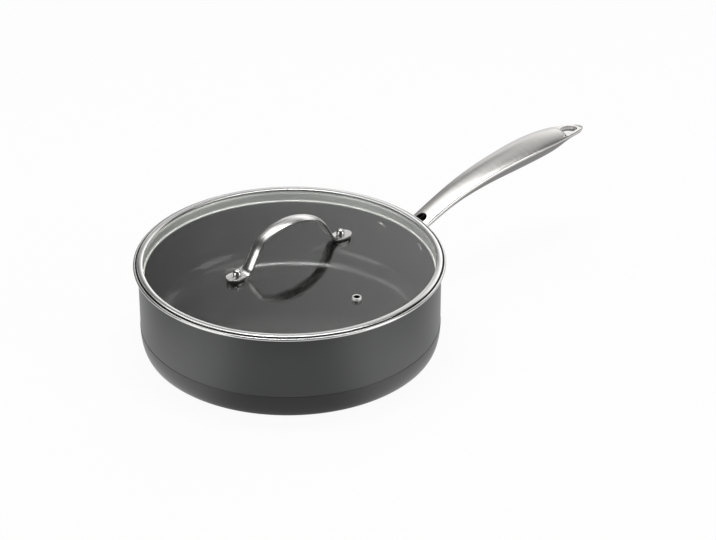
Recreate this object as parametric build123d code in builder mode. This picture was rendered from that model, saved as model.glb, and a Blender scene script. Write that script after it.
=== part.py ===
from build123d import *
from math import cos, radians, sin, sqrt
import os

# Saute pan with a glass lid. Millimetres, +Z up, origin at the centre of the pan's base,
# the long handle along +X. The lid sits closed, with its strap along X and its vent at -Y.

# Pan body
wall_radius = 129.1
wall_thickness = 3.0
pan_height = 74.1
base_thickness = 4.5
inner_corner_radius = 10.0
rim_fillet = 1.0

# Lower band of the wall, which stands a little proud and curves in to the base
band_height = 20.4
band_step = 0.25
band_corner_run = 5.5

# Long handle: its centre line runs at the height of the bright bead along its edge
handle_reach = 215.5
handle_rise = 42.9
handle_root_height = 55.6
handle_root_sink = 1.1
handle_root_angle = 24.0
handle_tip_angle = -8.0
grip_width = 30.8
crown_rise = 3.4
belly_depth = 10.0
bead_bulge = 1.2
bead_above = 1.0
bead_below = 2.6
seam_inset = 1.4
shell_thickness = 1.2
tab_drop = 0.5

# Hanging hole at the handle's tip, and the oval opening near its root
hang_hole_length = 19.0
hang_hole_width = 12.0
root_opening_length = 23.0
root_opening_width = 11.0

# Bracket that two rivets hold against the wall, with two legs inside the handle
bracket_thickness = 2.0
bracket_height = 19.0
bracket_centre_height = 52.2
bracket_hub_width = 30.0
bracket_hub_height = 26.0
bracket_hub_fillet = 6.0
leg_width = 2.0
leg_height = 2.0
leg_length = 36.0
leg_drop = 0.6

# Handle rivets
rivet_angle = 12.0
rivet_shank_radius = 2.6
rivet_head_radius = 5.6
rivet_head_rise = 1.8
rivet_inner_radius = 6.2
rivet_inner_rise = 1.6

# Lid: crowned glass in a steel rim, whose skirt drops inside the pan
glass_thickness = 3.0
glass_crown = 0.6
glass_edge_inset = 3.5
glass_hole_radius = 3.3
rim_overhang = 4.0
rim_flange_height = 3.2
rim_flange_fillet = 1.2
rim_bead_width = 5.4
rim_bead_rise = 1.7
rim_lip_width = 8.3
rim_steel = 0.6
skirt_gap = 0.7
skirt_depth = 10.0
skirt_bend_radius = 2.5
skirt_hem_radius = 0.9

# Strap handle of the lid
strap_foot_place = 55.8
strap_tip_reach = 10.4
strap_apex_height = 35.0
strap_thickness = 1.6
strap_crown_radius = 9.4
strap_foot_crown_radius = 60.0
strap_arch_radius = 54.2
strap_arch_angle = 29.9
strap_shoulder_radius = 27.8
strap_shoulder_angle = 30.7
strap_bend_radius = 8.4
strap_width = 12.8
strap_foot_width = 14.0
strip_margin = 1.0

# Round-headed rivets, washers and gaskets that hold the strap to the glass
lid_rivet_shank = 2.4
lid_rivet_foot = 3.5
lid_rivet_head = 3.8
lid_rivet_head_middle = 1.4
lid_rivet_tail = 3.6
lid_rivet_tail_rise = 1.2
washer_radius = 5.0
washer_thickness = 0.8
gasket_radius = 5.8
gasket_thickness = 0.5

# Steam vent
vent_edge_distance = 40.1
vent_bore = 2.4
vent_wall = 0.6
vent_flange_radius = 4.2
vent_flange_rise = 2.4
vent_washer_radius = 5.2
vent_washer_thickness = 0.8
vent_hem_radius = 4.0
vent_hem_thickness = 0.5

# Clearances, how far a cut runs past what it cuts, and the turn of a rounded corner
seat_gap = 0.1
seam_gap = 0.2
lid_gap = 0.3
overrun = 5.0
quarter_turn = 90.0

# Points of the handle's centre line: shares of its reach and of its rise
path_shares = [(0.0, 0.0), (0.284, 0.597), (0.55, 0.893), (0.817, 1.0), (1.0, 0.935)]

# Stations along that line, closer together toward the tip: shares of the width, the crown
# and the belly at each
tip_crowding = 1.7
station_shares = [
    (0.700, 0.35, 0.26),
    (0.690, 0.45, 0.26),
    (0.711, 0.55, 0.30),
    (0.763, 0.65, 0.45),
    (0.826, 0.76, 0.63),
    (0.878, 0.85, 0.79),
    (0.929, 0.93, 0.92),
    (0.973, 0.98, 0.97),
    (0.996, 1.00, 0.96),
    (0.977, 0.98, 0.90),
    (0.915, 0.94, 0.75),
    (0.811, 0.86, 0.46),
    (0.693, 0.74, 0.23),
    (0.547, 0.59, 0.21),
    (0.410, 0.39, 0.21),
    (0.274, 0.19, 0.20),
    (0.120, 0.10, 0.20),
]
shoulder_share = 0.868
hang_hole_share = 0.926
root_opening_share = 0.075

# Control points of the belly's rounded section: shares of its depth and half width
belly_side_share = 1.3
belly_floor_share = 0.95
belly_run_share = 0.75

# Outline of the strap seen from above: shares of its half length, and of its foot's half width
strap_outline_shares = [
    (0.0, 0.914),
    (0.50, 0.757),
    (0.68, 0.771),
    (0.80, 0.93),
    (0.88, 1.0),
    (0.96, 0.743),
    (1.0, 0.0),
]

# Where the strap's crown starts to flatten and is flat, as shares of its half length, and how
# many sections it is drawn through
strap_flatten_start = 0.63
strap_flatten_end = 0.79
strap_sections = 41

# Places worked out from the sizes above
inner_radius = wall_radius - wall_thickness
band_radius = wall_radius + band_step
bracket_inner = wall_radius + seat_gap
bracket_outer = bracket_inner + bracket_thickness
shell_root_radius = bracket_outer + seat_gap
handle_root = Vector(wall_radius - handle_root_sink, 0, handle_root_height)
seam_level = -bead_below - seam_gap
lid_seat = pan_height + lid_gap
rim_floor = lid_seat + rim_steel
glass_edge_bottom = rim_floor + seat_gap
glass_edge_top = glass_edge_bottom + glass_thickness
rim_outer_radius = wall_radius + rim_overhang
rim_lip_radius = rim_outer_radius - rim_lip_width
glass_radius = rim_outer_radius - glass_edge_inset
vent_place = glass_radius - vent_edge_distance
strap_half_length = strap_foot_place + strap_tip_reach


def glass_top(radius):
    """Height of the crowned glass at a distance from its centre."""
    return glass_edge_top + glass_crown * (1 - (radius / glass_radius) ** 2)


gasket_seat = glass_top(strap_foot_place - gasket_radius) + seat_gap
upper_washer_seat = gasket_seat + gasket_thickness
washer_top = upper_washer_seat + washer_thickness
strap_seat = washer_top + seat_gap + washer_radius**2 / strap_foot_crown_radius / 2
glass_underside = glass_top(strap_foot_place + gasket_radius) - glass_thickness - seat_gap
lower_washer_seat = glass_underside - gasket_thickness
rivet_tail_seat = lower_washer_seat - washer_thickness


def radial_plane(angle):
    """Plane through the pan's axis at an angle: x outward, y up from the rivets' height."""
    turn = radians(angle)
    return Plane(
        origin=(0, 0, bracket_centre_height),
        x_dir=(cos(turn), sin(turn), 0),
        z_dir=(sin(turn), -cos(turn), 0),
    )


def rivet_hole(angle):
    """Cut the hole of one handle rivet through the part being built."""
    place = radial_plane(angle)
    with BuildSketch(Plane(origin=place.origin, x_dir=(0, 0, 1), z_dir=place.x_dir)) as hole:
        Circle(rivet_shank_radius + seat_gap)
    extrude(hole.sketch, amount=wall_radius + overrun, mode=Mode.SUBTRACT)


# Pan body
with BuildPart() as pan_body:
    with BuildSketch(Plane.XZ):
        with BuildLine():
            Line((0, 0), (band_radius - band_corner_run, 0))
            EllipticalCenterArc(
                (band_radius - band_corner_run, band_height),
                band_corner_run,
                band_height,
                -quarter_turn,
                arc_size=quarter_turn,
            )
            Polyline(
                (band_radius, band_height),
                (wall_radius, band_height + band_step),
                (wall_radius, pan_height),
                (inner_radius, pan_height),
                (inner_radius, base_thickness + inner_corner_radius),
            )
            JernArc(
                (inner_radius, base_thickness + inner_corner_radius),
                (0, -1),
                inner_corner_radius,
                -quarter_turn,
            )
            Polyline((inner_radius - inner_corner_radius, base_thickness), (0, base_thickness), (0, 0))
        make_face()
    revolve(axis=Axis.Z)
    fillet(pan_body.edges().filter_by(GeomType.CIRCLE).group_by(Axis.Z)[-1], rim_fillet)
    for angle in (-rivet_angle, rivet_angle):
        rivet_hole(angle)


# Centre line of the long handle
with BuildLine() as handle_line:
    Spline(
        *[handle_root + Vector(handle_reach * along, 0, handle_rise * up) for along, up in path_shares],
        tangents=[
            (cos(radians(handle_root_angle)), 0, sin(radians(handle_root_angle))),
            (cos(radians(handle_tip_angle)), 0, sin(radians(handle_tip_angle))),
        ],
    )
handle_path = handle_line.edge()

# Each station: its place along the path, its width, and how far its crown and belly stand out
stations = [
    (
        1 - (1 - step / (len(station_shares) - 1)) ** tip_crowding,
        width * grip_width,
        crown * crown_rise,
        belly * belly_depth,
    )
    for step, (width, crown, belly) in enumerate(station_shares)
]
hollow_stations = [station for station in stations if station[0] < shoulder_share]
tab_shares = [shoulder_share] + [station[0] for station in stations if station[0] > shoulder_share]


def across(share):
    """Plane across the handle at a share of its path: x to the side, y up."""
    return Plane(origin=handle_path @ share, x_dir=(0, 1, 0), z_dir=handle_path % share)


def upon(share):
    """Plane lying along the handle at a share of its path: x along it, z up out of it."""
    section = across(share)
    return Plane(origin=section.origin, x_dir=section.z_dir, z_dir=section.y_dir)


def crown_section(share, width, crown):
    """Crowned section of the top shell, with a rounded bead on each side."""
    flank = width / 2 - bead_bulge
    middle = (bead_above - bead_below) / 2
    with BuildSketch(across(share)) as section:
        with BuildLine():
            ThreePointArc((-flank, -bead_below), (-width / 2, middle), (-flank, bead_above))
            ThreePointArc((-flank, bead_above), (0, bead_above + crown), (flank, bead_above))
            ThreePointArc((flank, bead_above), (width / 2, middle), (flank, -bead_below))
            Line((flank, -bead_below), (-flank, -bead_below))
        make_face()
    return section.sketch


def crown_hollow(share, width, crown):
    """Section of the hollow under the crown, open downward."""
    flank = width / 2 - seam_inset - shell_thickness
    roof = bead_above - shell_thickness
    floor = -bead_below - overrun
    with BuildSketch(across(share)) as section:
        with BuildLine():
            ThreePointArc((-flank, roof), (0, roof + crown), (flank, roof))
            Polyline((flank, roof), (flank, floor), (-flank, floor), (-flank, roof))
        make_face()
    return section.sketch


def belly_curve(flank, depth):
    """Rounded trough from one side of the seam down and up to the other."""
    side = seam_level - belly_side_share * depth
    floor = seam_level - belly_floor_share * depth
    run = belly_run_share * flank
    Bezier(
        (-flank, seam_level),
        (-flank, side),
        (-run, floor),
        (run, floor),
        (flank, side),
        (flank, seam_level),
    )


def belly_section(share, flank, depth):
    """Section of the bottom shell, closed at its seam."""
    with BuildSketch(across(share)) as section:
        with BuildLine():
            belly_curve(flank, depth)
            Line((flank, seam_level), (-flank, seam_level))
        make_face()
    return section.sketch


def belly_hollow(share, flank, depth):
    """Section of the hollow in the bottom shell, open upward past its seam."""
    with BuildSketch(across(share)) as section:
        with BuildLine():
            belly_curve(flank, depth)
            Polyline((flank, seam_level), (flank, overrun), (-flank, overrun), (-flank, seam_level))
        make_face()
    return section.sketch


def trim_to_bracket():
    """Cut the root of a shell round, so that it meets the bracket's curved face."""
    with BuildSketch(Plane.XY) as root:
        Circle(shell_root_radius)
    extrude(root.sketch, amount=pan_height * 2, mode=Mode.SUBTRACT)


def cut_hang_hole():
    """Cut the oval hanging hole through the part being built."""
    with BuildSketch(upon(hang_hole_share)) as hole:
        Ellipse(hang_hole_length / 2, hang_hole_width / 2)
    extrude(hole.sketch, amount=belly_depth, both=True, mode=Mode.SUBTRACT)


# Top shell: crowned, hollow along the grip, and solid at its tip where it makes the hanging loop
with BuildPart() as handle_top_shell:
    loft([crown_section(share, width, crown) for share, width, crown, belly in stations])
    loft(
        [crown_hollow(share, width, crown) for share, width, crown, belly in hollow_stations],
        mode=Mode.SUBTRACT,
    )
    for share in tab_shares:
        with BuildSketch(across(share)):
            with Locations((0, bead_above - tab_drop)):
                Rectangle(grip_width + overrun, crown_rise + overrun, align=(Align.CENTER, Align.MIN))
    loft(ruled=True, mode=Mode.SUBTRACT)
    with BuildSketch(upon(root_opening_share)):
        SlotOverall(root_opening_length, root_opening_width)
    extrude(amount=crown_rise + overrun, mode=Mode.SUBTRACT)
    cut_hang_hole()
    trim_to_bracket()

# Bottom shell: the belly of the grip, and the lower half of the hanging loop
with BuildPart() as handle_bottom_shell:
    loft([belly_section(share, width / 2 - seam_inset, belly) for share, width, crown, belly in stations])
    loft(
        [
            belly_hollow(share, width / 2 - seam_inset - shell_thickness, belly - shell_thickness)
            for share, width, crown, belly in hollow_stations
        ],
        mode=Mode.SUBTRACT,
    )
    cut_hang_hole()
    trim_to_bracket()

# Bracket: a curved plate on the wall, with two legs that run up inside the handle
with BuildPart() as handle_bracket:
    with BuildSketch(Plane.XZ):
        with Locations((bracket_inner, bracket_centre_height)):
            Rectangle(bracket_thickness, bracket_hub_height, align=(Align.MIN, Align.CENTER))
    revolve(axis=Axis.Z)
    with BuildSketch(Plane.YZ):
        with Locations((0, bracket_centre_height)):
            SlotCenterToCenter(2 * bracket_outer * sin(radians(rivet_angle)), bracket_height)
            RectangleRounded(bracket_hub_width, bracket_hub_height, bracket_hub_fillet)
    extrude(amount=wall_radius + overrun, mode=Mode.INTERSECT)
    leg_place = (root_opening_width + leg_width) / 2 + seat_gap
    with BuildSketch(across(0)):
        with Locations((-leg_place, -leg_drop), (leg_place, -leg_drop)):
            Rectangle(leg_width, leg_height, align=(Align.CENTER, Align.MAX))
    extrude(amount=leg_length)
    with BuildSketch(Plane.XY):
        Circle(bracket_inner)
    extrude(amount=pan_height, mode=Mode.SUBTRACT)
    for angle in (-rivet_angle, rivet_angle):
        rivet_hole(angle)

# Handle rivets: a low dome inside the pan and one on the bracket
with BuildPart() as handle_rivets:
    inner_seat = sqrt(inner_radius**2 - rivet_inner_radius**2) - seat_gap
    outer_seat = bracket_outer + seat_gap
    place = radial_plane(rivet_angle)
    with BuildSketch(place):
        with BuildLine():
            Bezier(
                (inner_seat - rivet_inner_rise, 0),
                (inner_seat - rivet_inner_rise, rivet_inner_radius),
                (inner_seat, rivet_inner_radius),
            )
            Polyline(
                (inner_seat, rivet_inner_radius),
                (inner_seat, rivet_shank_radius),
                (outer_seat, rivet_shank_radius),
                (outer_seat, rivet_head_radius),
            )
            Bezier(
                (outer_seat, rivet_head_radius),
                (outer_seat + rivet_head_rise, rivet_head_radius),
                (outer_seat + rivet_head_rise, 0),
            )
            Line((outer_seat + rivet_head_rise, 0), (inner_seat - rivet_inner_rise, 0))
        make_face()
    revolve(axis=Axis(place.origin, place.x_dir))
    mirror(about=Plane.XZ)

# Lid glass: gently crowned, with two holes for the strap's rivets and one for the vent
with BuildPart() as lid_glass:
    with BuildSketch(Plane.XZ):
        with BuildLine():
            Line((0, glass_top(0) - glass_thickness), (0, glass_top(0)))
            Bezier((0, glass_top(0)), (glass_radius / 2, glass_top(0)), (glass_radius, glass_edge_top))
            Line((glass_radius, glass_edge_top), (glass_radius, glass_edge_bottom))
            Bezier(
                (glass_radius, glass_edge_bottom),
                (glass_radius / 2, glass_top(0) - glass_thickness),
                (0, glass_top(0) - glass_thickness),
            )
        make_face()
    revolve(axis=Axis.Z)
    with BuildSketch(Plane.XY.offset(lid_seat)):
        with Locations((-strap_foot_place, 0), (strap_foot_place, 0), (0, -vent_place)):
            Circle(glass_hole_radius)
    extrude(amount=glass_thickness + overrun, mode=Mode.SUBTRACT)

# Lid rim: a bead folded over the glass edge, a flange on the pan's edge, and a skirt inside the pan
with BuildPart() as lid_rim:
    bead_half = rim_bead_width / 2
    bead_centre = rim_lip_radius + bead_half
    flange_inner = rim_lip_radius + rim_bead_width
    flange_top = lid_seat + rim_flange_height
    lip_bottom = glass_edge_top + seat_gap
    groove_radius = glass_radius + seat_gap
    skirt_outer = inner_radius - skirt_gap
    skirt_inner = skirt_outer - rim_steel
    skirt_bottom = lid_seat - skirt_depth
    bend_place = (skirt_inner + skirt_bend_radius, rim_floor - skirt_bend_radius)
    with BuildSketch(Plane.XZ) as rim_profile:
        with BuildLine():
            EllipticalCenterArc(
                (bead_centre, lip_bottom), bead_half, rim_bead_rise, 0, arc_size=2 * quarter_turn
            )
            Polyline(
                (rim_lip_radius, lip_bottom),
                (groove_radius, lip_bottom),
                (groove_radius, rim_floor),
                (bend_place[0], rim_floor),
            )
            CenterArc(bend_place, skirt_bend_radius, quarter_turn, quarter_turn)
            Polyline(
                (skirt_inner, bend_place[1]),
                (skirt_inner, skirt_bottom),
                (skirt_outer, skirt_bottom),
                (skirt_outer, bend_place[1]),
            )
            CenterArc(bend_place, skirt_bend_radius - rim_steel, 2 * quarter_turn, -quarter_turn)
            Polyline(
                (bend_place[0], lid_seat),
                (rim_outer_radius, lid_seat),
                (rim_outer_radius, flange_top),
                (flange_inner, flange_top),
                (flange_inner, lip_bottom),
            )
        make_face()
        fillet(rim_profile.vertices().group_by(Axis.X)[-1], rim_flange_fillet)
        with Locations((skirt_outer - skirt_hem_radius, skirt_bottom + skirt_hem_radius)):
            Circle(skirt_hem_radius)
    revolve(axis=Axis.Z)

# Strap handle of the lid: a crowned strip, bent over its feet and trimmed to its outline
shoulder_end_angle = strap_arch_angle + strap_shoulder_angle
arch_drop = strap_arch_radius * (1 - cos(radians(strap_arch_angle)))
shoulder_drop = strap_shoulder_radius * (cos(radians(strap_arch_angle)) - cos(radians(shoulder_end_angle)))
bend_drop = strap_bend_radius * (1 - cos(radians(shoulder_end_angle)))
leg_run = (strap_apex_height - arch_drop - shoulder_drop - bend_drop) / sin(radians(shoulder_end_angle))
strap_middle = strap_seat + strap_thickness / 2
with BuildLine(Plane.XZ) as strap_line:
    apex = (0, strap_middle + strap_apex_height)
    arch = JernArc(apex, (1, 0), strap_arch_radius, -strap_arch_angle)
    shoulder = JernArc(arch @ 1, arch % 1, strap_shoulder_radius, -strap_shoulder_angle)
    leg = Line(shoulder @ 1, shoulder @ 1 + (shoulder % 1) * leg_run)
    bend = JernArc(leg @ 1, leg % 1, strap_bend_radius, shoulder_end_angle)
    Line(bend @ 1, (strap_half_length + strip_margin, strap_middle))
    mirror(about=Plane.YZ)
strap_path = strap_line.wire()


def strap_section(share):
    """Crowned section of the strap at a share of its path, flatter toward its feet."""
    spot = strap_path @ share
    place = abs(spot.X) / strap_half_length
    flat = (place - strap_flatten_start) / (strap_flatten_end - strap_flatten_start)
    flat = min(max(flat, 0), 1)
    half = (strap_width + flat * (strap_foot_width - strap_width)) / 2 + strip_margin
    drop = half**2 / 2 * ((1 - flat) / strap_crown_radius + flat / strap_foot_crown_radius)
    top = strap_thickness / 2
    with BuildSketch(Plane(origin=spot, x_dir=(0, 1, 0), z_dir=strap_path % share)) as section:
        with BuildLine():
            upper = ThreePointArc((-half, top - drop), (0, top), (half, top - drop))
            lower = ThreePointArc((-half, -top - drop), (0, -top), (half, -top - drop))
            Line(upper @ 0, lower @ 0)
            Line(upper @ 1, lower @ 1)
        make_face()
    return section.sketch


with BuildPart() as lid_handle:
    loft([strap_section(step / (strap_sections - 1)) for step in range(strap_sections)])
    with BuildSketch(Plane.XY):
        with BuildLine():
            Spline(
                *[
                    (strap_half_length * along, strap_foot_width / 2 * out)
                    for along, out in strap_outline_shares
                ],
                tangents=[(1, 0), (0, -1)],
            )
            mirror(about=Plane.YZ)
            mirror(about=Plane.XZ)
        make_face()
    extrude(amount=strap_seat + strap_apex_height + overrun, mode=Mode.INTERSECT)
    with BuildSketch(Plane.XY):
        with Locations((-strap_foot_place, 0), (strap_foot_place, 0)):
            Circle(lid_rivet_shank + seat_gap)
    extrude(amount=strap_seat + overrun, mode=Mode.SUBTRACT)


def ring(centre, bottom, inner, outer, thickness):
    """Flat ring about a vertical line through a point, joined to the part being built."""
    with BuildSketch(Plane.XY.offset(bottom)) as outline:
        with Locations(centre):
            Circle(outer)
            Circle(inner, mode=Mode.SUBTRACT)
    extrude(outline.sketch, amount=thickness)


strap_feet = [(-strap_foot_place, 0), (strap_foot_place, 0)]

# Gaskets on both faces of the glass
with BuildPart() as lid_upper_gaskets:
    for foot in strap_feet:
        ring(foot, gasket_seat, lid_rivet_shank + seat_gap, gasket_radius, gasket_thickness)
with BuildPart() as lid_lower_gaskets:
    for foot in strap_feet:
        ring(foot, lower_washer_seat, lid_rivet_shank + seat_gap, gasket_radius, gasket_thickness)

# Steel washers outside the gaskets
with BuildPart() as lid_upper_washers:
    for foot in strap_feet:
        ring(foot, upper_washer_seat, lid_rivet_shank + seat_gap, washer_radius, washer_thickness)
with BuildPart() as lid_lower_washers:
    for foot in strap_feet:
        ring(foot, rivet_tail_seat, lid_rivet_shank + seat_gap, washer_radius, washer_thickness)

# Rivets through strap, glass, washers and gaskets, with a round head above and a tail below
with BuildPart() as lid_handle_rivets:
    head_seat = strap_seat + strap_thickness + seat_gap
    head_middle = head_seat + lid_rivet_head_middle
    tail_end = rivet_tail_seat - lid_rivet_tail_rise
    for foot in strap_feet:
        with BuildSketch(Plane(origin=(foot[0], 0, 0), x_dir=(1, 0, 0), z_dir=(0, -1, 0))):
            with BuildLine():
                CenterArc((0, head_middle), lid_rivet_head, 0, quarter_turn)
                Polyline(
                    (lid_rivet_head, head_middle),
                    (lid_rivet_foot, head_seat),
                    (lid_rivet_shank, head_seat),
                    (lid_rivet_shank, rivet_tail_seat),
                    (lid_rivet_tail, rivet_tail_seat),
                )
                EllipticalCenterArc(
                    (0, rivet_tail_seat),
                    lid_rivet_tail,
                    lid_rivet_tail_rise,
                    -quarter_turn,
                    arc_size=quarter_turn,
                )
                Line((0, tail_end), (0, head_middle + lid_rivet_head))
            make_face()
        revolve(axis=Axis((foot[0], 0, 0), (0, 0, 1)))

# Vent eyelet: a rounded ring on the glass, a tube through it and a hem under its washer
with BuildPart() as vent_eyelet:
    vent_seat = glass_top(vent_place - vent_flange_radius) + seat_gap
    vent_washer_top = glass_top(vent_place + vent_washer_radius) - glass_thickness - seat_gap
    vent_hem_top = vent_washer_top - vent_washer_thickness
    vent_tube = vent_bore + vent_wall
    flange_half = (vent_flange_radius - vent_bore) / 2
    with BuildSketch(Plane(origin=(0, -vent_place, 0), x_dir=(1, 0, 0), z_dir=(0, -1, 0))):
        with BuildLine():
            EllipticalCenterArc(
                (vent_bore + flange_half, vent_seat),
                flange_half,
                vent_flange_rise,
                0,
                arc_size=2 * quarter_turn,
            )
            Polyline(
                (vent_bore, vent_seat),
                (vent_bore, vent_hem_top - vent_hem_thickness),
                (vent_hem_radius, vent_hem_top - vent_hem_thickness),
                (vent_hem_radius, vent_hem_top),
                (vent_tube, vent_hem_top),
                (vent_tube, vent_seat),
                (vent_flange_radius, vent_seat),
            )
        make_face()
    revolve(axis=Axis((0, -vent_place, 0), (0, 0, 1)))
with BuildPart() as vent_washer:
    ring((0, -vent_place), vent_hem_top, vent_tube + seat_gap, vent_washer_radius, vent_washer_thickness)

# Each piece is written under its own name
pieces = {
    "pan_body": pan_body,
    "handle_bracket": handle_bracket,
    "handle_rivets": handle_rivets,
    "handle_top_shell": handle_top_shell,
    "handle_bottom_shell": handle_bottom_shell,
    "lid_glass": lid_glass,
    "lid_rim": lid_rim,
    "lid_handle": lid_handle,
    "lid_handle_rivets": lid_handle_rivets,
    "lid_upper_washers": lid_upper_washers,
    "lid_upper_gaskets": lid_upper_gaskets,
    "lid_lower_gaskets": lid_lower_gaskets,
    "lid_lower_washers": lid_lower_washers,
    "vent_eyelet": vent_eyelet,
    "vent_washer": vent_washer,
}
os.makedirs("parts", exist_ok=True)
for name, piece in pieces.items():
    piece.part.label = name
    export_step(piece.part, f"parts/{name}.step")
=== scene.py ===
import math

import bmesh
import bpy
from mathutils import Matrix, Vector


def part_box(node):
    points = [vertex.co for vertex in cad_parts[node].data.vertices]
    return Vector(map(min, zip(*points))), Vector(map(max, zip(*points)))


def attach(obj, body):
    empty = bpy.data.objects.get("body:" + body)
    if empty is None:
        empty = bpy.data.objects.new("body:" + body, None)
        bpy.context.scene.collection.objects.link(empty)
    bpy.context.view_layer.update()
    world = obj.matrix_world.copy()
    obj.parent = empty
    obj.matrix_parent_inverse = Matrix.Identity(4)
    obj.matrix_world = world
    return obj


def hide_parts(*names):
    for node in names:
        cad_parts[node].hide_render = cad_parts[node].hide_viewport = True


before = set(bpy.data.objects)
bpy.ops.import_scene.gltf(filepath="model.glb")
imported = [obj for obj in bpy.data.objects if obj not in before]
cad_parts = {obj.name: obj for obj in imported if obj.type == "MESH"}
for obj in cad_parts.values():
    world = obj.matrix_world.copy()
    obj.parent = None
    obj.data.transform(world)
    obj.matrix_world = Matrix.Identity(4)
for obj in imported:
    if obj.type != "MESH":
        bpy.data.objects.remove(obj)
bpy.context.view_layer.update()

# The camera stands in front of the pan and to its left, and looks a little down on the lid.
# The long handle runs away from it to the right.
camera = bpy.data.objects.new("camera", bpy.data.cameras.new("camera"))
camera.data.lens = 120.67
camera.data.sensor_width = 36.0
camera.data.clip_end = 200.0
camera.location = (-1.08984, -1.40848, 1.07797)
camera.rotation_euler = (math.radians(60.4), 0, math.radians(-39.6))
bpy.context.scene.collection.objects.link(camera)
bpy.context.scene.camera = camera
bpy.context.scene.view_settings.view_transform = "Standard"


# Pan body: one piece of drawn aluminium, hard-anodised grey outside and coated inside. A darker
# band at its foot stands a little proud of the wall and curves in to the flat base.
same_place = 2e-6
floor_level = 4.5
band_top = 20.6
inner_wall = 126.1
lip_middle = 127.6


def arc(centre, radii, start, end, steps):
    """Points of a rounded part of a profile, from one angle to another in degrees."""
    angles = [math.radians(start + (end - start) * step / steps) for step in range(steps + 1)]
    return [(centre[0] + radii[0] * math.cos(a), centre[1] + radii[1] * math.sin(a)) for a in angles]


def turn(bm, profile, centre=(0, 0), steps=192):
    """Spins a profile, in millimetres from an upright line, into a closed round shape."""
    x, y = centre
    verts = [bm.verts.new(((x + out) / 1000, y / 1000, up / 1000)) for out, up in profile]
    edges = [bm.edges.new(pair) for pair in zip(verts, verts[1:])]
    bmesh.ops.spin(
        bm,
        geom=verts + edges,
        cent=(x / 1000, y / 1000, 0),
        axis=(0, 0, 1),
        angle=math.tau,
        steps=steps,
        use_merge=True,
    )
    bmesh.ops.remove_doubles(bm, verts=bm.verts, dist=same_place)
    bmesh.ops.dissolve_degenerate(bm, edges=bm.edges, dist=same_place / 2)


def add_piece(bm, name, body, finishes, nodes, crease):
    """Makes the finished piece that rides on a body and stands for the solids of the same place."""
    mesh = bpy.data.meshes.new(name)
    bm.to_mesh(mesh)
    bm.free()
    mesh.shade_smooth()
    mesh.set_sharp_from_angle(angle=math.radians(crease))
    for finish in finishes:
        mesh.materials.append(finish)
    made = bpy.data.objects.new(name, mesh)
    bpy.context.scene.collection.objects.link(made)
    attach(made, body)
    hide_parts(*nodes)
    return made


def make_piece(bm, name, body, finishes, nodes, crease=32):
    """A piece modelled here, with all its faces turned outward."""
    bmesh.ops.recalc_face_normals(bm, faces=bm.faces)
    return add_piece(bm, name, body, finishes, nodes, crease)


def add_node(tree, kind, **inputs):
    """Adds a shader node and sets its inputs by name; a node's output is linked, a value is set."""
    node = tree.nodes.new("ShaderNode" + kind)
    for name, value in inputs.items():
        label = int(name[1:]) if name[1:].isdigit() else name.replace("_", " ")
        socket = node.inputs[label]
        if isinstance(value, bpy.types.NodeSocket):
            tree.links.new(value, socket)
        else:
            socket.default_value = value
    return node


def ramp(tree, factor, low, high, dark, light):
    """A colour ramp from one grey or colour to another between two values of its factor."""
    node = add_node(tree, "ValToRGB", Fac=factor)
    first, last = node.color_ramp.elements
    first.position, last.position = low, high
    first.color, last.color = (*dark, 1), (*light, 1)
    return node.outputs["Color"]


def span(tree, factor, low, high):
    """Brings a value between 0 and 1 to another range."""
    return add_node(tree, "MapRange", Value=factor, To_Min=low, To_Max=high).outputs["Result"]


def start_finish(name, metal, specular=0.5):
    """A new material, with its tree, its shader and its object coordinates."""
    finish = bpy.data.materials.new(name)
    finish.use_nodes = True
    tree = finish.node_tree
    shader = tree.nodes["Principled BSDF"]
    shader.inputs["Metallic"].default_value = metal
    shader.inputs["Specular IOR Level"].default_value = specular
    return finish, tree, shader, tree.nodes.new("ShaderNodeTexCoord").outputs["Object"]


def grain(tree, place, scale, stretch=(1, 1, 1), detail=4.0):
    """Noise stretched along the axes of the piece."""
    laid = add_node(tree, "Mapping", Vector=place, Scale=stretch).outputs["Vector"]
    return add_node(tree, "TexNoise", Vector=laid, Scale=scale, Detail=detail).outputs["Fac"]


def bump(tree, shader, height, strength, distance):
    """Joins a height to the shader as relief."""
    node = add_node(tree, "Bump", Height=height, Strength=strength, Distance=distance)
    tree.links.new(node.outputs["Normal"], shader.inputs["Normal"])


def coated_metal(name, dark, light, rough, spread, fine, specular=0.5, relief=0.12):
    """Satin finish with faint clouds of tone, and relief as fine as bead-blasted metal."""
    finish, tree, shader, place = start_finish(name, 0.0, specular)
    clouds = grain(tree, place, 14)
    specks = grain(tree, place, fine, detail=2.0)
    tree.links.new(ramp(tree, clouds, 0.35, 0.65, dark, light), shader.inputs["Base Color"])
    tree.links.new(span(tree, specks, rough - spread, rough + spread), shader.inputs["Roughness"])
    bump(tree, shader, specks, relief, 0.00004)
    return finish


def grey(level):
    """A neutral colour."""
    return (level, level, level)


wall_dark, wall_light = (0.017, 0.018, 0.019), (0.021, 0.022, 0.023)
anodised = coated_metal("anodised_wall", wall_dark, wall_light, 0.34, 0.04, 2600, 0.85)
band_finish = coated_metal("anodised_band", grey(0.005), grey(0.007), 0.30, 0.04, 2600, 0.65)
inner_coating = coated_metal("inner_coating", grey(0.006), grey(0.008), 0.18, 0.02, 1800, 0.6, 0.04)

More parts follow.
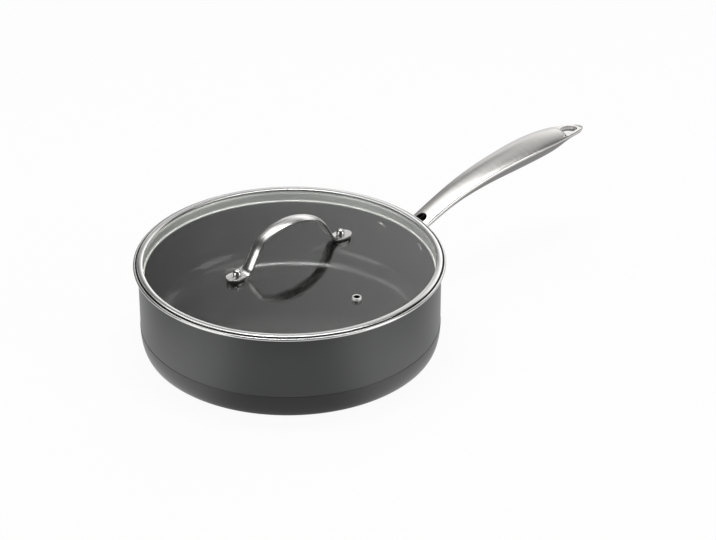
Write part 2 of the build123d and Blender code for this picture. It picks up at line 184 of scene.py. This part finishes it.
wall_profile = [
    (0, 0),
    (60, 0),
    (118, 0),
    *arc((123.85, 20.4), (5.5, 20.4), -90, 0, 24),
    (129.35, 20.5),
    (129.27, 20.62),
    (129.12, 20.7),
    (129.1, 21.5),
    (129.1, 45),
    *arc((128.1, 73.1), (1, 1), 0, 90, 6),
    *arc((127.1, 73.1), (1, 1), 90, 180, 6),
    (inner_wall, 45),
    *arc((102.1, 28.5), (24, 24), 0, -90, 28),
    (60, floor_level),
    (0, floor_level),
]
bm = bmesh.new()
turn(bm, wall_profile, steps=224)
for face in bm.faces:
    middle = face.calc_center_median() * 1000
    inner_limit = inner_wall + 0.2 if middle.z < band_top else lip_middle
    if middle.z > floor_level - 0.1 and math.hypot(middle.x, middle.y) < inner_limit:
        face.material_index = 2
    elif middle.z < band_top:
        face.material_index = 1
make_piece(bm, "pan_shell", "pan", [anodised, band_finish, inner_coating], ["pan_body"])


# Long handle: two pressed steel shells, welded edge to edge. The upper one is crowned, with a
# bead along each side; the lower one is the belly of the grip. Both are brushed across, and the
# belly's steel is painted darker than the crown's, as painted shade.
def brushed_steel(name, tone, rough, lines, relief):
    """Steel brushed one way, its fine lines as close together as the stretch says."""
    finish, tree, shader, place = start_finish(name, 1.0)
    brushing = grain(tree, place, 1, lines, detail=6.0)
    clouds = grain(tree, place, 22)
    light = tuple(min(1.0, part * 1.05) for part in tone)
    dark = tuple(part * 0.95 for part in tone)
    tree.links.new(ramp(tree, brushing, 0.3, 0.7, dark, light), shader.inputs["Base Color"])
    both = add_node(tree, "Math", _0=brushing, _1=clouds).outputs[0]
    rougher = add_node(tree, "MapRange", Value=both, To_Min=rough - 0.04, To_Max=rough + 0.04)
    rougher.inputs["From Min"].default_value = 0.6
    rougher.inputs["From Max"].default_value = 1.4
    tree.links.new(rougher.outputs["Result"], shader.inputs["Roughness"])
    bump(tree, shader, brushing, relief, 0.00005)
    return finish


def smooth_copy(node, name, body, finish, crease):
    """A merged copy of a solid's surface, shaded smoothly except along its real edges."""
    bm = bmesh.new()
    bm.from_mesh(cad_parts[node].data)
    bmesh.ops.remove_doubles(bm, verts=bm.verts, dist=same_place)
    for face in bm.faces:
        face.material_index = 0
    add_piece(bm, name, body, [finish], [node], crease)


handle_steel = brushed_steel("handle_steel", (0.64, 0.63, 0.61), 0.31, (1100, 50, 50), 0.05)
# A darker copy of the handle's steel: painted shade on the belly.
painted_shade_belly = brushed_steel("painted_shade_belly", (0.28, 0.276, 0.272), 0.34, (60, 900, 900), 0.05)
smooth_copy("handle_top_shell", "handle_crown", "pan", handle_steel, 28)
smooth_copy("handle_bottom_shell", "handle_belly", "pan", painted_shade_belly, 28)

# Bracket: a pressed plate that follows the wall, with two legs welded inside the handle. Two
# solid rivets hold it through the wall.
bracket_steel = brushed_steel("bracket_steel", (0.58, 0.57, 0.56), 0.30, (80, 80, 900), 0.08)
rivet_steel = brushed_steel("rivet_steel", (0.66, 0.65, 0.64), 0.20, (300, 300, 300), 0.04)
smooth_copy("handle_bracket", "bracket_plate", "pan", bracket_steel, 30)
smooth_copy("handle_rivets", "bracket_rivets", "pan", rivet_steel, 40)

# Lid glass: clear tempered glass, very gently crowned, with ground holes for the strap's rivets
# and for the vent.
lid_clear = bpy.data.materials.new("lid_clear")
lid_clear.use_nodes = True
tree = lid_clear.node_tree
shader = tree.nodes["Principled BSDF"]
shader.inputs["Base Color"].default_value = (0.95, 0.96, 0.945, 1)
shader.inputs["Roughness"].default_value = 0.015
shader.inputs["IOR"].default_value = 1.5
shader.inputs["Transmission Weight"].default_value = 1.0
light_path = tree.nodes.new("ShaderNodeLightPath")
passing = add_node(tree, "BsdfTransparent", Color=(0.88, 0.89, 0.875, 1))
blend = add_node(tree, "MixShader", Fac=light_path.outputs["Is Shadow Ray"])
tree.links.new(shader.outputs[0], blend.inputs[1])
tree.links.new(passing.outputs[0], blend.inputs[2])
tree.links.new(blend.outputs[0], tree.nodes["Material Output"].inputs["Surface"])
smooth_copy("lid_glass", "lid_pane", "lid", lid_clear, 30)

# Lid rim: a band of polished steel, folded over the edge of the glass into a bead, with a flat
# flange outside it and a fold between them, painted near-black as shade. Its skirt drops inside the
# pan and ends in a hem; the skirt's steel is painted lighter than the rim's, as painted light.
rim_steel = brushed_steel("rim_steel", (0.70, 0.70, 0.69), 0.20, (40, 40, 2500), 0.03)
rim_profile = [
    *arc((125.0, 78.4), (0.2, 0.2), 270, 180, 4),
    *arc((127.5, 78.4), (2.7, 0.9), 176, 4, 24),
    *arc((130.75, 77.2), (0.5, 0.6), 180, 360, 10),
    *arc((131.55, 77.7), (0.3, 0.3), 180, 90, 4),
    *arc((132.03, 77.0), (1.0, 1.0), 90, 0, 10),
    *arc((132.03, 76.6), (1.0, 1.0), 0, -90, 10),
    (130.9, 75.6),
    (130.2, 74.4),
    *arc((127.3, 72.5), (1.9, 1.9), 90, 180, 8),
    (125.4, 69),
    *arc((124.5, 65.3), (0.9, 0.9), 0, -289.5, 24),
    (124.8, 69),
    *arc((127.3, 72.5), (2.5, 2.5), 180, 90, 10),
    (129.5, 75.0),
    (129.7, 75.2),
    (129.7, 78.05),
    (129.55, 78.2),
    (125.0, 78.2),
]
bm = bmesh.new()
turn(bm, rim_profile, steps=256)
for face in bm.faces:
    middle = face.calc_center_median() * 1000
    out = math.hypot(middle.x, middle.y)
    if middle.z < 75.05 and out < 127.3:
        face.material_index = 1
    # The fold between the bead and the flange takes the near-black steel: painted shade.
    elif middle.z > 76.5 and 130.15 < out < 131.27:
        face.material_index = 2
# A lighter copy of the rim's steel, as painted light on the skirt and the vent's eyelet, and a
# near-black steel that is painted shade.
painted_light_steel = brushed_steel("painted_light_steel", (0.92, 0.92, 0.90), 0.55, (40, 40, 2500), 0.03)
painted_shade_steel = brushed_steel("painted_shade_steel", (0.03, 0.03, 0.03), 0.45, (300, 300, 300), 0.04)
make_piece(bm, "lid_band", "lid", [rim_steel, painted_light_steel, painted_shade_steel], ["lid_rim"])

# Gaskets and washers: on each side of the glass, round each rivet, a rubber ring with a steel
# washer outside it.
foot_places = (-55.8, 55.8)
ring_bore = 2.5
gasket_radius = 5.8
washer_radius = 5.0
gasket_finish = coated_metal("gasket_rubber", grey(0.012), grey(0.02), 0.6, 0.05, 900)
washer_steel = brushed_steel("washer_steel", (0.68, 0.68, 0.67), 0.16, (500, 500, 500), 0.03)


def rings(name, node, finish, outer, bevel):
    """Two round flat rings, one at each foot of the strap, as thick as the solids they stand for."""
    low, high = (corner.z * 1000 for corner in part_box(node))
    profile = [
        (ring_bore, low),
        *arc((outer - bevel, low + bevel), (bevel, bevel), -90, 0, 4),
        *arc((outer - bevel, high - bevel), (bevel, bevel), 0, 90, 4),
        (ring_bore, high),
        (ring_bore, low),
    ]
    bm = bmesh.new()
    for foot in foot_places:
        turn(bm, profile, (foot, 0), 64)
    make_piece(bm, name, "lid", [finish], [node])


for side in ("upper", "lower"):
    rings(f"{side}_gaskets", f"lid_{side}_gaskets", gasket_finish, gasket_radius, 0.15)
for side in ("upper", "lower"):
    rings(f"{side}_washers", f"lid_{side}_washers", washer_steel, washer_radius, 0.2)

# Strap: one strip of polished steel, strongly crowned across the bow and nearly flat at its
# feet, which are cut to a rounded spade shape.
strap_steel = brushed_steel("strap_steel", (0.68, 0.67, 0.66), 0.27, (60, 1200, 60), 0.04)
strap_thickness = 1.6
foot_lift = 0.308
leg_slope = 60.6
bend_radius = 8.4
tip_start = 58.3
tip_length = 7.9
tip_half_width = 7
bow_crown = 10.86
foot_crown = 60
foot_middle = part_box("lid_upper_washers")[1].z * 1000 + foot_lift + strap_thickness / 2
bow = [(0.0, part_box("lid_handle")[1].z * 1000 - strap_thickness / 2, 0.0)]


def follow(radius, angle, steps):
    """Carries the strap's line on round a bend; it turns downward where the angle is positive."""
    for _ in range(steps):
        x, z, fall = bow[-1]
        part = math.radians(angle / steps)
        chord = 2 * radius * math.sin(abs(part) / 2)
        middle = fall + part / 2
        bow.append((x + chord * math.cos(middle), z - chord * math.sin(middle), fall + part))


def carry_on(length, steps):
    """Carries the strap's line straight on."""
    for _ in range(steps):
        x, z, fall = bow[-1]
        bow.append((x + length / steps * math.cos(fall), z - length / steps * math.sin(fall), fall))


follow(54.2, 29.9, 16)
follow(27.8, 30.7, 12)
bend_drop = bend_radius * (1 - math.cos(math.radians(leg_slope)))
carry_on((bow[-1][1] - foot_middle - bend_drop) / math.sin(math.radians(leg_slope)), 10)
follow(bend_radius, -leg_slope, 14)
carry_on(tip_start - bow[-1][0], 6)
for share in (0.2, 0.4, 0.57, 0.71, 0.82, 0.9, 0.955, 0.985, 1.0):
    bow.append((tip_start + tip_length * share, foot_middle, 0.0))


def half_width(x):
    """Half the strap's width: narrowest above the feet, and rounded off at the tips."""
    if x > tip_start:
        return max(0.3, tip_half_width * math.sqrt(max(0.0, 1 - ((x - tip_start) / tip_length) ** 2)))
    stops = [(0, 6.4, 0), (33.1, 5.3, -0.02), (45.0, 5.4, 0.06), (53.0, 6.5, 0.12)]
    stops.append((tip_start, tip_half_width, 0))
    for (start, wide, slope), (end, next_wide, next_slope) in zip(stops, stops[1:]):
        if x <= end:
            break
    share = (x - start) / (end - start)
    rise = share * share * (3 - 2 * share)
    return (
        wide
        + (next_wide - wide) * rise
        + (end - start) * share * (1 - share) * (slope * (1 - share) - next_slope * share)
    )


bm = bmesh.new()
place = bm.verts.layers.int.new("place")
across = range(-8, 9)
line = [(-x, z, -fall) for x, z, fall in reversed(bow[1:])] + bow
row = [bm.verts.new((0, side / 100, 0)) for side in across]
for vert, side in zip(row, across):
    vert[place] = side
edges = [bm.edges.new(pair) for pair in zip(row, row[1:])]
for number, (x, z, fall) in enumerate(line):
    if number:
        made = bmesh.ops.extrude_edge_only(bm, edges=edges)["geom"]
        edges = [part for part in made if isinstance(part, bmesh.types.BMEdge)]
        row = [part for part in made if isinstance(part, bmesh.types.BMVert)]
    flat = min(max((abs(x) - 41.7) / 10.6, 0), 1)
    crown = 1 / ((1 - flat) / bow_crown + flat / foot_crown)
    for vert in row:
        side = half_width(abs(x)) * vert[place] / 8
        sag = crown - math.sqrt(crown * crown - side * side)
        vert.co = (
            (x - sag * math.sin(fall)) / 1000,
            side / 1000,
            (z - sag * math.cos(fall)) / 1000,
        )
strap = make_piece(bm, "lid_strap", "lid", [strap_steel], ["lid_handle"], 60)
wall = strap.modifiers.new("thickness", "SOLIDIFY")
wall.thickness = strap_thickness / 1000
wall.offset = 0
rounding = strap.modifiers.new("edges", "BEVEL")
rounding.width = 0.0006
rounding.segments = 3
rounding.angle_limit = math.radians(50)

# Strap rivets: solid steel, each with a polished round head above the strap and a low tail
# formed against the lower washer.
head_radius = 3.8
shank_radius = 2.4
tail_radius = 3.6
head_low = foot_middle + 0.9
tail_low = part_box("lid_handle_rivets")[0].z * 1000
tail_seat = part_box("lid_lower_washers")[0].z * 1000
rivet_profile = [
    *arc((0, head_low + 1.4), (head_radius, head_radius), 90, -6, 20),
    (3.55, head_low + 0.15),
    (3.42, head_low),
    (shank_radius, head_low),
    (shank_radius, tail_seat),
    (3.5, tail_seat),
    *arc((0, tail_seat), (tail_radius, tail_seat - tail_low), -5, -90, 8),
]
bm = bmesh.new()
for foot in foot_places:
    turn(bm, rivet_profile, (foot, 0), 64)
make_piece(bm, "strap_rivets", "lid", [rivet_steel], ["lid_handle_rivets"])

# Steam vent: a metal eyelet through the glass, rounded above, with painted shade in its bore, and
# rolled over a backing washer below; the hem and the washer are painted near-black as shade.
vent_place = (0, -89.5)
vent_bore = 2.4
tube_radius = 3.0
collar_rise = 2.4
vent_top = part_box("vent_eyelet")[1].z * 1000
vent_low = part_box("vent_eyelet")[0].z * 1000
hem_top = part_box("vent_washer")[0].z * 1000
vent_profile = [
    *arc((3.3, vent_top - collar_rise), (0.9, collar_rise), 0, 180, 16),
    (vent_bore, vent_top - 3.2),
    (vent_bore, vent_low + 0.15),
    (vent_bore + 0.15, vent_low),
    (3.9, vent_low),
    (4.0, vent_low + 0.1),
    (4.0, hem_top),
    (tube_radius, hem_top),
    (tube_radius, vent_top - collar_rise),
    (4.2, vent_top - collar_rise),
]
bm = bmesh.new()
turn(bm, vent_profile, vent_place, 64)
# The bore and the hem below the collar take the near-black steel: painted shade.
for face in bm.faces:
    middle = face.calc_center_median() * 1000
    in_bore = math.hypot(middle.x, middle.y - vent_place[1]) < 2.85
    face.material_index = int(in_bore or middle.z < vent_top - collar_rise - 0.1)
make_piece(bm, "steam_vent", "lid", [painted_light_steel, painted_shade_steel], ["vent_eyelet"])
smooth_copy("vent_washer", "vent_backing", "lid", painted_shade_steel, 40)

# Studio: a white floor, and a room that is white to the eye and through the glass. In the metal
# the floor's glow carries painted shade, darker toward the camera and far off on one side, and the room
# shows softboxes round the pan.
toward_camera = Vector((-0.63742, -0.77051, 0))
camera_right = Vector((0.77051, -0.63742, 0))


def sum_of(tree, *parts):
    """Adds any number of values."""
    total = parts[0]
    for part in parts[1:]:
        total = add_node(tree, "Math", _0=total, _1=part).outputs[0]
    return total


def chosen(tree, operation, first, second=0.0):
    """One sum of the given kind on one value or two."""
    node = add_node(tree, "Math", _0=first, _1=second)
    node.operation = operation
    return node.outputs[0]


def times(tree, first, second):
    """Multiplies two values."""
    return chosen(tree, "MULTIPLY", first, second)


def toward(tree, place, way):
    """How far a place or a direction lies along a given direction."""
    node = add_node(tree, "VectorMath", _0=place, _1=tuple(way))
    node.operation = "DOT_PRODUCT"
    return node.outputs["Value"]


def edge(tree, value, start, end):
    """Rises smoothly from nought to one between two values, or falls where the second is smaller."""
    low, high = min(start, end), max(start, end)
    node = add_node(tree, "MapRange", Value=value)
    node.interpolation_type = "SMOOTHSTEP"
    node.inputs["From Min"].default_value = low
    node.inputs["From Max"].default_value = high
    if end < start:
        node.inputs["To Min"].default_value = 1.0
        node.inputs["To Max"].default_value = 0.0
    return node.outputs["Result"]


def seen_straight(tree, path):
    """One where the eye looks straight at a place, or through nothing but the glass."""
    unreflected = chosen(tree, "LESS_THAN", path["Glossy Depth"], 0.5)
    unscattered = chosen(tree, "LESS_THAN", path["Diffuse Depth"], 0.5)
    through = times(tree, path["Is Transmission Ray"], times(tree, unreflected, unscattered))
    return sum_of(tree, path["Is Camera Ray"], through)


bm = bmesh.new()
bmesh.ops.create_circle(bm, cap_ends=True, radius=60, segments=96)
mesh = bpy.data.meshes.new("floor")
bm.to_mesh(mesh)
bm.free()
floor = bpy.data.objects.new("floor", mesh)
floor.location.z = -0.0003
bpy.context.scene.collection.objects.link(floor)
paper = bpy.data.materials.new("white_floor")
paper.use_nodes = True
tree = paper.node_tree
tree.nodes.remove(tree.nodes["Principled BSDF"])
matt = add_node(tree, "BsdfDiffuse", Color=(0.9, 0.9, 0.9, 1))
place = tree.nodes.new("ShaderNodeTexCoord").outputs["Object"]
length = add_node(tree, "VectorMath", _0=place)
length.operation = "LENGTH"
outward = add_node(tree, "VectorMath", _0=place)
outward.operation = "NORMALIZE"
# The floor's glow in metal and glass is painted: lighter to the sides, shaded toward the camera and far
# off on one side.
front = toward(tree, outward.outputs["Vector"], toward_camera)
dark_side = toward(tree, outward.outputs["Vector"], toward_camera * 0.5 - camera_right * 0.87)
painted_side_light = times(tree, edge(tree, front, 0.1, 0.7), 0.45)
painted_front_shade = times(tree, edge(tree, front, 0.75, 0.98), -0.55)
painted_far_shade = times(tree, edge(tree, length.outputs["Value"], 0.28, 0.55), edge(tree, dark_side, -0.55, -0.25))
shown = sum_of(tree, 0.8, painted_side_light, painted_front_shade, times(tree, painted_far_shade, -0.9))
shown = chosen(tree, "MAXIMUM", shown, 0.1)
path = tree.nodes.new("ShaderNodeLightPath").outputs
straight = seen_straight(tree, path)
mirrored = chosen(tree, "MAXIMUM", path["Is Glossy Ray"], path["Is Transmission Ray"])
mirrored = times(tree, mirrored, chosen(tree, "SUBTRACT", 1.0, straight))
strength = add_node(tree, "Mix", Factor=mirrored, A=1.0, B=shown)
glow = add_node(tree, "Emission", Color=(1, 1, 1, 1), Strength=strength.outputs["Result"])
seen = sum_of(tree, times(tree, straight, 0.94), mirrored)
blend = add_node(tree, "MixShader", Fac=seen)
tree.links.new(matt.outputs[0], blend.inputs[1])
tree.links.new(glow.outputs[0], blend.inputs[2])
tree.links.new(blend.outputs[0], tree.nodes["Material Output"].inputs["Surface"])
floor.data.materials.append(paper)


def place_lamp(name, place, turned, width, depth, brightness):
    """A flat lamp that lights but isn't seen by the camera."""
    lamp = bpy.data.lights.new(name, "AREA")
    lamp.shape = "RECTANGLE"
    lamp.size, lamp.size_y = width, depth
    lamp.energy = brightness * math.pi * width * depth
    holder = bpy.data.objects.new(name, lamp)
    holder.location = place
    holder.rotation_euler = turned
    holder.visible_camera = False
    bpy.context.scene.collection.objects.link(holder)


def strip_lamp(name, bearing, distance, low, high, width, brightness):
    """An upright lamp beside the pan; its bearing is in degrees from straight behind the pan."""
    angle = math.radians(bearing)
    way = -toward_camera * math.cos(angle) + camera_right * math.sin(angle)
    place = way * distance + Vector((0, 0, (low + high) / 2))
    turned = (-way).to_track_quat("-Z", "Y").to_euler()
    place_lamp(name, place, turned, width, high - low, brightness)


strip_lamp("left_strip", 238, 1.5, 0.15, 0.85, 1.0, 2.8)
strip_lamp("right_strip", 113, 1.5, 0.05, 1.05, 0.75, 3.0)
overhead = camera_right * 0.15 - toward_camera * 0.2 + Vector((0, 0, 2.05))
place_lamp("top_lamp", overhead, (0, 0, math.atan2(camera_right.y, camera_right.x)), 1.3, 0.25, 15)

world = bpy.data.worlds.new("room")
world.use_nodes = True
tree = world.node_tree
way = tree.nodes.new("ShaderNodeTexCoord").outputs["Generated"]
bearing = chosen(tree, "ARCTAN2", toward(tree, way, camera_right), toward(tree, way, -toward_camera))
bearing = times(tree, bearing, math.degrees(1))
rise = chosen(tree, "ARCSINE", add_node(tree, "SeparateXYZ", Vector=way).outputs["Z"])
rise = times(tree, rise, math.degrees(1))


def softbox(left, right, low, high, brightness, blur=6.0, left_blur=None):
    """A soft-edged patch of the room between two bearings and two heights, all in degrees."""
    left_blur = left_blur or blur
    sides = times(
        tree,
        edge(tree, bearing, left - left_blur, left + left_blur),
        edge(tree, bearing, right + blur, right - blur),
    )
    levels = times(
        tree,
        edge(tree, rise, low - blur, low + blur),
        edge(tree, rise, high + blur, high - blur),
    )
    return times(tree, times(tree, sides, levels), brightness)


room = sum_of(
    tree,
    0.05,
    softbox(-14, 14, -20, 8, 1.1),
    softbox(-18, 26, 9, 24, 1.0, 4),
    softbox(2, 60, 17, 38, 1.5, left_blur=18),
    softbox(-46, -24, 14, 34, 0.5),
    softbox(-64, -26, 42, 62, 2.0),
    softbox(-22, 40, 38, 60, 0.5),
    softbox(-115, 0, 62, 82, 1.8),
    softbox(90, 135, 44, 60, 1.2),
)
straight = seen_straight(tree, tree.nodes.new("ShaderNodeLightPath").outputs)
strength = add_node(tree, "Mix", Factor=straight, A=room, B=1.0)
tree.links.new(strength.outputs["Result"], tree.nodes["Background"].inputs["Strength"])
tree.nodes["Background"].inputs["Color"].default_value = (1, 1, 1, 1)
bpy.context.scene.world = world
